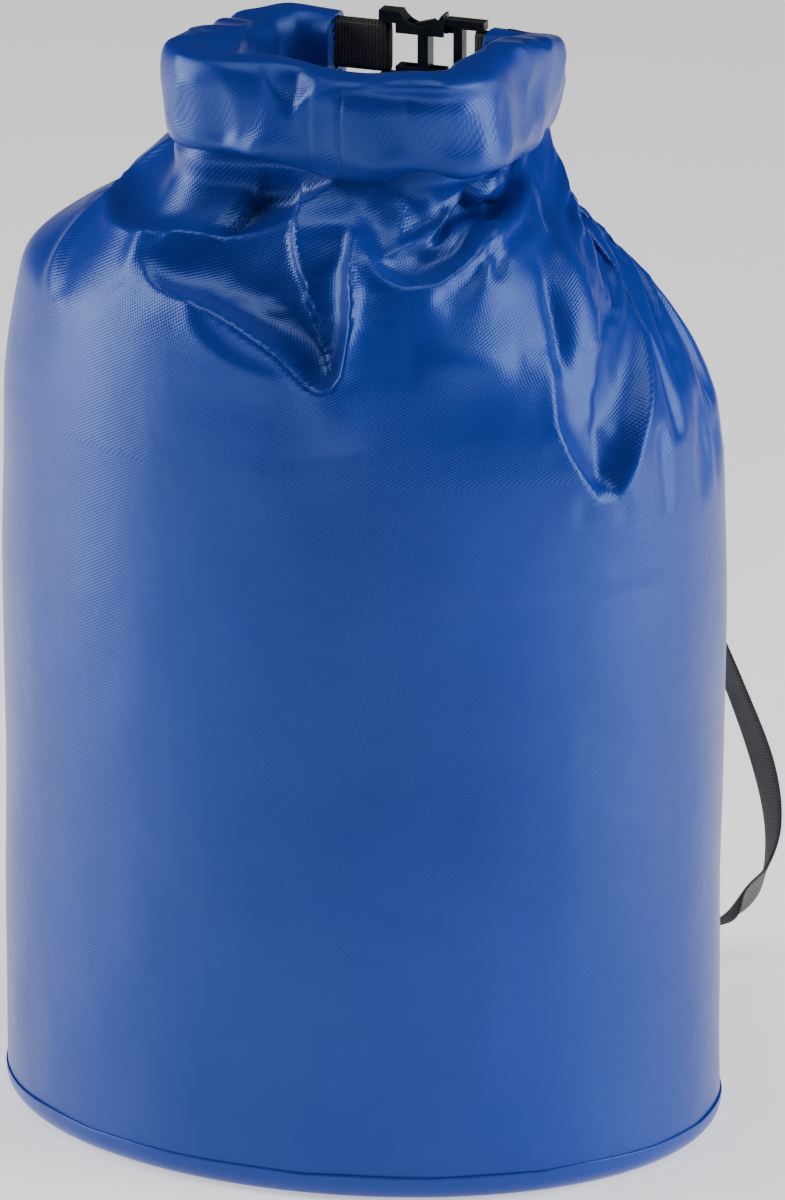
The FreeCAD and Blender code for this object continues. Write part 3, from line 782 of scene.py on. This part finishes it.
def end_cap(ring, tangent, centre, sign):
    """Rings that close the roll's end as the edges of its wound layers."""
    rings = []
    for layer in range(END_LAYERS):
        outer = 1 - layer / END_LAYERS
        inner = outer - 0.55 / END_LAYERS
        groove = outer - 0.80 / END_LAYERS
        for share, sink in ((outer - 0.05 / END_LAYERS, -0.0003), (inner, -0.0002), (groove, 0.0022)):
            scale = np.array([share, share, max(share, 0.03)])
            rings.append(centre + (ring - centre) * scale - sign * sink * tangent)
    rings.append(centre + (ring - centre) * 0.01 - sign * 0.002 * tangent)
    return rings


def eased(values):
    """A run of values with its corners rounded."""
    padded = np.pad(values, LINE_EASE // 2, mode="edge")
    return np.convolve(padded, np.ones(LINE_EASE) / LINE_EASE, mode="valid")


def make_roll():
    line, lengths = resample(ring_path(), ROLL_ALONG)
    line = np.stack([eased(line[:, k]) for k in (0, 1)], axis=1)
    normals = outward(line)
    shares = lengths / lengths[-1]
    low = smooth_profile(ROLL_LOWER, shares)
    high = smooth_profile(ROLL_UPPER, shares)
    angles = np.linspace(0, TWO_PI, ROLL_ROUND, endpoint=False)

    def bent(value):
        return np.sign(value) * np.abs(value) ** (2 / SQUARENESS)

    across, rise = bent(np.cos(angles)), bent(np.sin(angles))
    thick = ROLL_THICK / 2 * (0.97 + 0.05 * np.sin(shares * 37) * np.sin(shares * 11 + 1))
    tilt = 0.0018 * np.sin(shares * 23 + 0.6) + 0.0012 * np.sin(shares * 51)
    grid = np.zeros((ROLL_ALONG, ROLL_ROUND, 3))
    for i in range(ROLL_ALONG):
        swell = 1 - 0.06 * rise**2
        reach = across * thick[i] * swell + tilt[i] * rise
        level = (low[i] + high[i]) / 2 + rise * (high[i] - low[i]) / 2
        grid[i, :, 0] = line[i, 0] + normals[i, 0] * reach
        grid[i, :, 1] = line[i, 1] + normals[i, 1] * reach
        grid[i, :, 2] = level
    flat = grid.reshape(-1, 3)
    facing = np.repeat(normals[:, 1], ROLL_ROUND)
    outer = np.tile(np.clip(across, 0, 1), ROLL_ALONG)
    push = roll_dents(flat[:, 0], flat[:, 1], flat[:, 2], facing * outer)
    wander = np.array([crumple(p) for p in flat])
    direction = np.repeat(normals, ROLL_ROUND, axis=0)
    flat[:, :2] += direction * (push * outer + wander)[:, None]
    flat[:, 2] += wander * 0.6
    grid = flat.reshape(grid.shape)
    tangents = np.gradient(line, axis=0)
    tangents /= np.linalg.norm(tangents, axis=1, keepdims=True)
    first = end_cap(grid[0], np.array([*tangents[0], 0]), grid[0].mean(axis=0), -1)
    last = end_cap(grid[-1], np.array([*tangents[-1], 0]), grid[-1].mean(axis=0), 1)
    whole = np.concatenate([np.stack(first[::-1]), grid, np.stack(last)])
    girth = 2 * (ROLL_TALL + ROLL_THICK) * 0.9
    run = lengths[-1] / (ROLL_ALONG - 1)

    def uv(i, j):
        return ((i - len(first)) * run, j / ROLL_ROUND * girth)

    obj = grid_mesh("rolled_collar", whole, TARPAULIN, uv, close_v=True)
    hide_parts("collar_roll")
    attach(obj, "shell")


make_roll()


# ---------------------------------------------------------------- woven tape
def tape(name, centres, acrosses, width, thickness, material, columns=13, crown=0.0):
    """A band along the centres, whose width lies along the acrosses, with rounded edges."""
    centres, acrosses = np.array(centres), np.array(acrosses)
    along = np.gradient(centres, axis=0)
    along /= np.linalg.norm(along, axis=1, keepdims=True)
    acrosses = acrosses - along * (acrosses * along).sum(axis=1, keepdims=True)
    acrosses /= np.linalg.norm(acrosses, axis=1, keepdims=True)
    faces = np.cross(along, acrosses)
    lengths = np.concatenate([[0], np.cumsum(np.linalg.norm(np.diff(centres, axis=0), axis=1))])
    section = []
    for side in (1, -1):
        for k in range(columns):
            place = side * (1 - 2 * k / (columns - 1))
            edge = math.sqrt(max(0.0, 1 - abs(place) ** 8))
            rise = side * thickness / 2 * (0.35 + 0.65 * edge) + crown * (1 - place**2)
            section.append((place * width / 2, rise))
    grid = np.stack([centres + acrosses * a + faces * f for a, f in section], axis=1)

    def uv(i, j):
        return (lengths[i], section[j % len(section)][0])

    obj = grid_mesh(name, grid, material, uv, close_v=True)
    close_ends(obj, len(centres), len(section))
    return obj


def hairpin_line(bar_x, end_x, radius):
    """Out along one leg, round the bar and back along the other."""
    sign = math.copysign(1, end_x - bar_x)
    y = RING_HALF_DEPTH
    points = [(x, y + radius) for x in np.linspace(end_x, bar_x, 16)[:-1]]
    for k in range(13):
        angle = math.radians(90 + 180 * k / 12)
        points.append((bar_x + sign * radius * math.cos(angle), y + radius * math.sin(angle)))
    points += [(x, y - radius) for x in np.linspace(bar_x, end_x, 16)[1:]]
    return [(x, y, ROLL_MID) for x, y in points]


WEBBING_WIDTH = 0.020
WEBBING_THICK = 0.0014
BAR_RADIUS = 0.0015
BAR_GAP = 0.0003
HAIRPIN_RADIUS = BAR_RADIUS + BAR_GAP + WEBBING_THICK / 2
FEMALE_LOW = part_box("buckle_female")[0]
MALE_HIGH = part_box("buckle_male")[1]
LEFT_WEBBING_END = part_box("closure_webbing_left")[0].x
RIGHT_WEBBING_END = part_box("closure_webbing_right")[1].x


def make_closure_webbing():
    make = (WEBBING_WIDTH, WEBBING_THICK, WEBBING)
    upright = (0, 0, 1)
    left_line = hairpin_line(FEMALE_LOW.x + BAR_RADIUS, LEFT_WEBBING_END, HAIRPIN_RADIUS)
    left = tape("closure_tape_left", left_line, [upright] * len(left_line), *make)
    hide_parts("closure_webbing_left")
    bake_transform(left)
    right_line = hairpin_line(MALE_HIGH.x - BAR_RADIUS, RIGHT_WEBBING_END, HAIRPIN_RADIUS)
    right = tape("closure_tape_right", right_line, [upright] * len(right_line), *make)
    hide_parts("closure_webbing_right")
    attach(right, "shell")


make_closure_webbing()


# ---------------------------------------------------------------- patches, tabs and their stitching
SIDES = {"right": 1, "left": -1}
TOP_ANGLE = math.radians(14)
BOTTOM_ANGLE = math.radians(40)
STAND_OFF = 0.0185
STRAP_WIDTH = 0.025
STRAP_THICK = 0.0016
TAB_THICK = 0.0016
PATCH_THICK = 0.0008
TOP_PATCH_WIDE = 0.110
BOTTOM_PATCH_WIDE = 0.060
PATCH_ROWS = 41
# How far pieces on the wall are set into it, and the slack between a tab and its patch.
SUNK = 0.0010
TAB_SLACK = 0.0004
TOP_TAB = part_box("top_tab_right")
BOTTOM_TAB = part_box("bottom_tab_right")


def wall_frame(angle):
    """A point of the body's oval at an angle from +Y towards +X, the way it faces and the way along it."""
    half_w, half_d = BASE_HIGH.x, BASE_HIGH.y
    reach = 1 / math.hypot(math.sin(angle) / half_w, math.cos(angle) / half_d)
    point = np.array([reach * math.sin(angle), reach * math.cos(angle), 0.0])
    facing = np.array([point[0] / half_w**2, point[1] / half_d**2, 0.0])
    facing /= np.linalg.norm(facing)
    return point, facing, np.array([facing[1], -facing[0], 0.0])


def on_wall(angle, along, z, off):
    """A place on the wall: along it from the angle, at a height, and off its surface (m)."""
    point, _, tangent = wall_frame(angle)
    turn = math.atan2((point + tangent * along)[0], (point + tangent * along)[1])
    spot, facing, _ = wall_frame(turn)
    surface = spot - facing * SUNK
    wave = slack(np.array([[surface[0], surface[1], z]]))[0]
    return surface + facing * (off + wave) + np.array([0, 0, z])


def make_patch(name, node, angle):
    """A welded patch with rounded corners and a pressed border."""
    low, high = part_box(node)
    tall = high.z - low.z
    wide, columns = (TOP_PATCH_WIDE, 61) if angle == 0 else (BOTTOM_PATCH_WIDE, 41)
    rows = PATCH_ROWS
    radius, border = 0.009, 0.004
    grid = np.zeros((rows, columns, 3))
    for i in range(rows):
        v = (i / (rows - 1) - 0.5) * tall
        into = max(0.0, abs(v) - (tall / 2 - radius))
        half = wide / 2 - radius + math.sqrt(max(0.0, radius**2 - into**2))
        for j in range(columns):
            u = (2 * j / (columns - 1) - 1) * half
            rim = min(half - abs(u), tall / 2 - abs(v))
            lift = PATCH_THICK * (0.45 + 0.55 * min(1.0, rim / 0.0006))
            pressed = 0.0003 * math.exp(-(((rim - border) / 0.0007) ** 2))
            grid[i, j] = on_wall(angle, u, low.z + tall / 2 + v, lift - pressed)

    def uv(i, j):
        return (j / (columns - 1) * wide, i / (rows - 1) * tall)

    obj = grid_mesh(name, grid, PATCH, uv)
    thicken(obj, PATCH_THICK, 1)
    apply_modifiers(obj)
    obj.data.shade_smooth()
    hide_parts(node)
    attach(obj, "shell")


def make_tab(name, node, angle, top):
    """Webbing stitched flat to the patch, whose free end stands off the wall and folds back on itself."""
    low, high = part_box(node)
    base, facing, tangent = wall_frame(angle)
    leg_off = PATCH_THICK + TAB_THICK / 2 + TAB_SLACK
    bend = 0.0035
    out = STAND_OFF - 0.0012
    lip_gap = TAB_THICK * 1.02
    far, shelf = (high.z, low.z + TAB_THICK / 2) if top else (low.z, high.z - TAB_THICK / 2)
    toward = math.copysign(1, far - shelf)
    points = [(leg_off, z) for z in np.linspace(far, shelf + toward * (bend + lip_gap), 12)]
    for k in range(1, 7):
        turn = math.radians(90 * k / 6)
        rise = lip_gap + bend - bend * math.sin(turn)
        points.append((leg_off + bend - bend * math.cos(turn), shelf + toward * rise))
    points += [(off, shelf + toward * lip_gap) for off in np.linspace(leg_off + bend, out, 6)[1:]]
    for k in range(1, 6):
        turn = math.radians(180 * k / 6)
        rise = lip_gap / 2 * (1 + math.cos(turn))
        points.append((out + lip_gap / 2 * math.sin(turn), shelf + toward * rise))
    points += [(off, shelf) for off in np.linspace(out, leg_off + bend * 0.6, 6)]
    surface = base - facing * SUNK
    centres = [surface + facing * (off + slack_here(surface, z)) + np.array([0, 0, z]) for off, z in points]
    obj = tape(name, centres, [tangent] * len(centres), STRAP_WIDTH, TAB_THICK * 0.96, STRAP)
    drape_to_wall(obj, angle)
    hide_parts(node)
    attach(obj, "shell")


def slack_here(surface, z):
    return slack(np.array([[surface[0], surface[1], z]]))[0]


def drape_to_wall(obj, angle):
    """Bends a flat piece at the angle so that it follows the wall's curve."""
    base, facing, tangent = wall_frame(angle)
    for vertex in obj.data.vertices:
        co = np.array(vertex.co)
        along = float((co - base) @ tangent)
        off = float((co - base)[:2] @ facing[:2])
        there = base + tangent * along
        spot, _, _ = wall_frame(math.atan2(there[0], there[1]))
        drop = float((there - spot) @ facing)
        weight = max(0.0, 1 - max(0.0, off) / 0.008)
        vertex.co = co - facing * drop * weight


def make_stitching(name, node, angle):
    """A rectangle with a cross, in separate stitches that dip into the tab."""
    low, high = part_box(node)
    half_w = 0.0095
    half_h = (high.z - low.z) / 2 - 0.0004
    middle = (high.z + low.z) / 2
    corners = [(-half_w, -half_h), (half_w, -half_h), (half_w, half_h), (-half_w, half_h)]
    sides_round = list(zip(corners, corners[1:] + corners[:1]))
    runs = sides_round + [(corners[0], corners[2]), (corners[1], corners[3])]
    pitch, radius, sides, steps = 0.0030, 0.00042, 6, 7
    surface_off = PATCH_THICK + TAB_THICK + TAB_SLACK
    vertices, faces = [], []
    for (u0, v0), (u1, v1) in runs:
        length = math.hypot(u1 - u0, v1 - v0)
        count = max(3, round(length / pitch))
        for k in range(count):
            ring_start = len(vertices)
            for step in range(steps):
                share = (k + 0.08 + 0.84 * step / (steps - 1)) / count
                arch = math.sin(math.pi * step / (steps - 1))
                u, v = u0 + (u1 - u0) * share, v0 + (v1 - v0) * share
                centre = on_wall(angle, u, middle + v, surface_off - 0.0005 + 0.0007 * arch)
                _, facing, tangent = wall_frame(angle)
                way = tangent * (u1 - u0) / length + np.array([0, 0, (v1 - v0) / length])
                beside = np.cross(way, facing)
                for side in range(sides):
                    turn = TWO_PI * side / sides
                    vertices.append(centre + radius * (math.cos(turn) * beside + math.sin(turn) * facing))
            for step in range(steps - 1):
                for side in range(sides):
                    a = ring_start + step * sides + side
                    b = ring_start + step * sides + (side + 1) % sides
                    faces.append((a, b, b + sides, a + sides))
            faces.append(tuple(ring_start + s for s in reversed(range(sides))))
            faces.append(tuple(ring_start + (steps - 1) * sides + s for s in range(sides)))
    mesh = bpy.data.meshes.new(name)
    mesh.from_pydata([tuple(v) for v in vertices], [], faces)
    mesh.materials.append(THREAD)
    mesh.shade_smooth()
    obj = bpy.data.objects.new(name, mesh)
    bpy.context.scene.collection.objects.link(obj)
    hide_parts(node)
    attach(obj, "shell")


make_patch("patch_top", "top_patch", 0)
for side_name, side in SIDES.items():
    make_patch(f"patch_bottom_{side_name}", f"bottom_patch_{side_name}", side * BOTTOM_ANGLE)
    make_tab(f"tab_top_{side_name}", f"top_tab_{side_name}", side * TOP_ANGLE, True)
    make_tab(f"tab_bottom_{side_name}", f"bottom_tab_{side_name}", side * BOTTOM_ANGLE, False)
    make_stitching(f"stitches_top_{side_name}", f"top_stitching_{side_name}", side * TOP_ANGLE)
    make_stitching(f"stitches_bottom_{side_name}", f"bottom_stitching_{side_name}", side * BOTTOM_ANGLE)


# ---------------------------------------------------------------- shoulder straps
# How far along its span each point of a strap lies, its share of the reach, and its twist in degrees.
STRAP_COURSE = [(0.12, 0.40, 14), (0.27, 0.58, 24), (0.45, 0.74, 26), (0.63, 0.88, 24), (0.80, 0.975, 22),
                (0.90, 0.95, 30), (0.965, 0.80, 42), (0.985, 0.60, 40), (1.0, 0.36, 20)]
# Reach (m), heading (degrees from +X) and how much further down the lower end hangs.
STRAPS = {"right": (0.077, 65, 0.05), "left": (0.195, 27, -0.04)}
SAG_FROM = 0.80
STRAP_END_GAP = 0.0025
STRAP_FINENESS = 14
# The share of a strap's run over which its width turns from its tab's to its own.
END_SHARE = 0.14


def end_hold(share):
    """How far the tab sets the strap's width, at a share of the run from that tab."""
    return min(1.0, max(0.0, 1.25 - share / END_SHARE)) ** 1.5


def make_strap(side_name):
    """A webbing loop between its two tabs, with a twist that grows towards its lower end."""
    side = SIDES[side_name]
    reach, heading, sag = STRAPS[side_name]
    ends = []
    for angle, z in ((side * TOP_ANGLE, TOP_TAB[0].z), (side * BOTTOM_ANGLE, BOTTOM_TAB[1].z)):
        point, facing, tangent = wall_frame(angle)
        ends.append((point + facing * (STAND_OFF - STRAP_THICK) + np.array([0, 0, z]), tangent))
    (top, top_tangent), (bottom, bottom_tangent) = ends
    down = (bottom - top) / np.linalg.norm(bottom - top)
    span = np.linalg.norm(bottom - top) - 2 * STRAP_END_GAP
    turn = math.radians(heading)
    flat = np.array([math.cos(turn), math.sin(turn), 0.0])
    outward_way = flat - down * (flat @ down)
    outward_way /= np.linalg.norm(outward_way)
    across = np.cross(down, outward_way)
    points = [top + down * STRAP_END_GAP]
    for share, out, _ in STRAP_COURSE:
        hang = share + sag * max(0.0, share - SAG_FROM) / (1 - SAG_FROM)
        points.append(top + down * (STRAP_END_GAP + hang * span) + outward_way * out * reach)
    points.append(bottom - down * STRAP_END_GAP)
    twists = np.array([0] + [math.radians(t) for _, _, t in STRAP_COURSE] + [0])
    line = curve_through(np.array(points), STRAP_FINENESS)
    twist = curve_through(twists[:, None], STRAP_FINENESS)[:, 0]
    along = np.gradient(line, axis=0)
    along /= np.linalg.norm(along, axis=1, keepdims=True)
    acrosses = []
    count = len(line)
    for index in range(count):
        face = np.cross(along[index], across)
        way = across * math.cos(twist[index]) + face * math.sin(twist[index])
        share = index / (count - 1)
        for amount, tangent in ((end_hold(share), top_tangent), (end_hold(1 - share), bottom_tangent)):
            wanted = tangent * math.copysign(1, tangent @ across)
            way = way * (1 - amount) + wanted * amount
        acrosses.append(way / np.linalg.norm(way))
    name = f"shoulder_strap_{side_name}"
    obj = tape(name, line, acrosses, STRAP_WIDTH, STRAP_THICK, STRAP, columns=17, crown=0.0005)
    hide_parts(f"strap_{side_name}")
    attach(obj, f"{side_name}_strap")


for side_name in SIDES:
    make_strap(side_name)


# ---------------------------------------------------------------- buckle: the CAD nodes with moulded edges
def finish_plastic():
    for node in ("buckle_female", "buckle_male", "prong_upper", "prong_lower"):
        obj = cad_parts[node]
        obj.data.materials.clear()
        obj.data.materials.append(PLASTIC)
        bevel = obj.modifiers.new("moulded_edge", "BEVEL")
        bevel.width = 0.0007
        bevel.segments = 3
        bevel.limit_method = "ANGLE"
        bevel.angle_limit = math.radians(40)
        bevel.harden_normals = True
    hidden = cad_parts["stiffening_strip"]
    hidden.data.materials.clear()
    hidden.data.materials.append(STRIP)


finish_plastic()


# ---------------------------------------------------------------- floor
FLOOR_GLOW = 0.65
FLOOR_REACH = 6.0


def make_floor():
    material, nodes, links, shader = new_material("floor")
    place = nodes.new("ShaderNodeTexCoord").outputs["Object"]
    speck = noise_texture(nodes, links, place, 60.0)
    colour = ramp(nodes, links, speck, [(0.3, (0.90, 0.90, 0.90)), (0.7, (0.93, 0.93, 0.93))])
    links.new(colour, shader.inputs["Base Color"])
    shader.inputs["Roughness"].default_value = 0.6
    shader.inputs["Emission Color"].default_value = (1, 1, 1, 1)
    shader.inputs["Emission Strength"].default_value = FLOOR_GLOW
    edge = FLOOR_REACH
    points = np.array([[(-edge, -edge, 0), (edge, -edge, 0)], [(-edge, edge, 0), (edge, edge, 0)]])
    floor = grid_mesh("floor", points, material, smooth=False)


make_floor()
